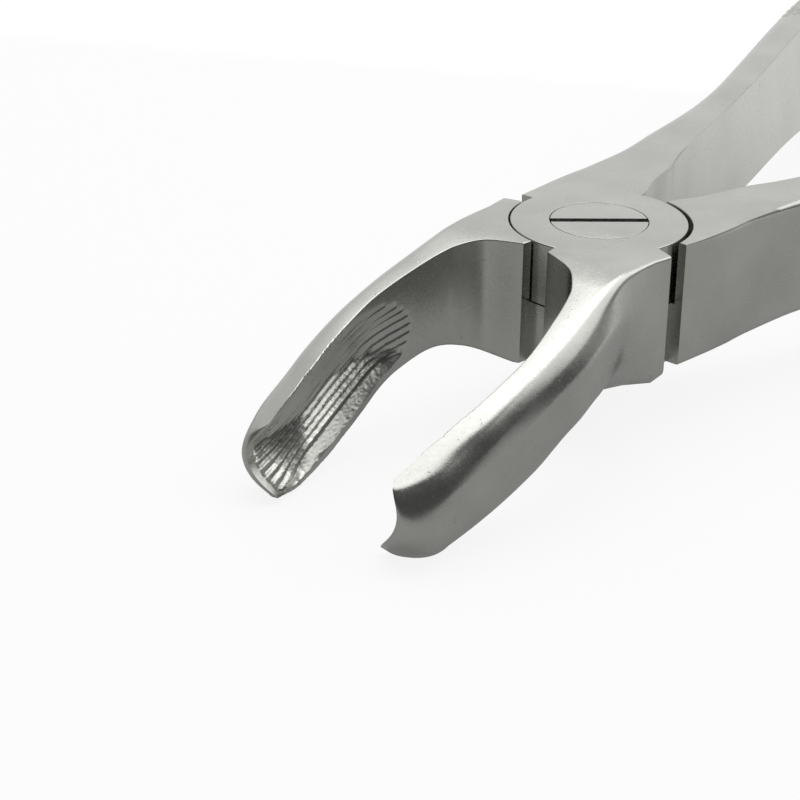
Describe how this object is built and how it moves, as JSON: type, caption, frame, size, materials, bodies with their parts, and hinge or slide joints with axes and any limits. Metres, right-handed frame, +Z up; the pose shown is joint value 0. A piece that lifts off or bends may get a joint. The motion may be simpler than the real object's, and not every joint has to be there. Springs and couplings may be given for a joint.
{
  "type": "tooth extraction forceps",
  "caption": "English-pattern tooth extraction forceps with hollow, fluted hawk-bill beaks, a round lap joint on a flush slotted screw, and bowed handles.",
  "frame": {"origin": "on the pivot axis, at the joint's underside, in the middle of the screw's flush end", "axes": "+X forward to the beak tips along the middle line between the handles, +Y to the left, +Z up along the pivot, out of the face that holds the screw head"},
  "size_m": [0.1655, 0.0754, 0.0169],
  "materials": {
    "forged_steel": "satin, bead-blasted stainless steel",
    "screw_steel": "fine turned stainless steel"
  },
  "bodies": {
    "lower": {"lower_half": "forged_steel", "pivot_screw": "screw_steel"},
    "upper": {"upper_half": "forged_steel"}
  },
  "joints": [
    {"name": "lap_joint", "type": "hinge", "parent": "lower", "child": "upper", "pos_m": [0, 0, 0], "axis": [0, 0, 1], "range_deg": [-15, 3]}
  ]
}
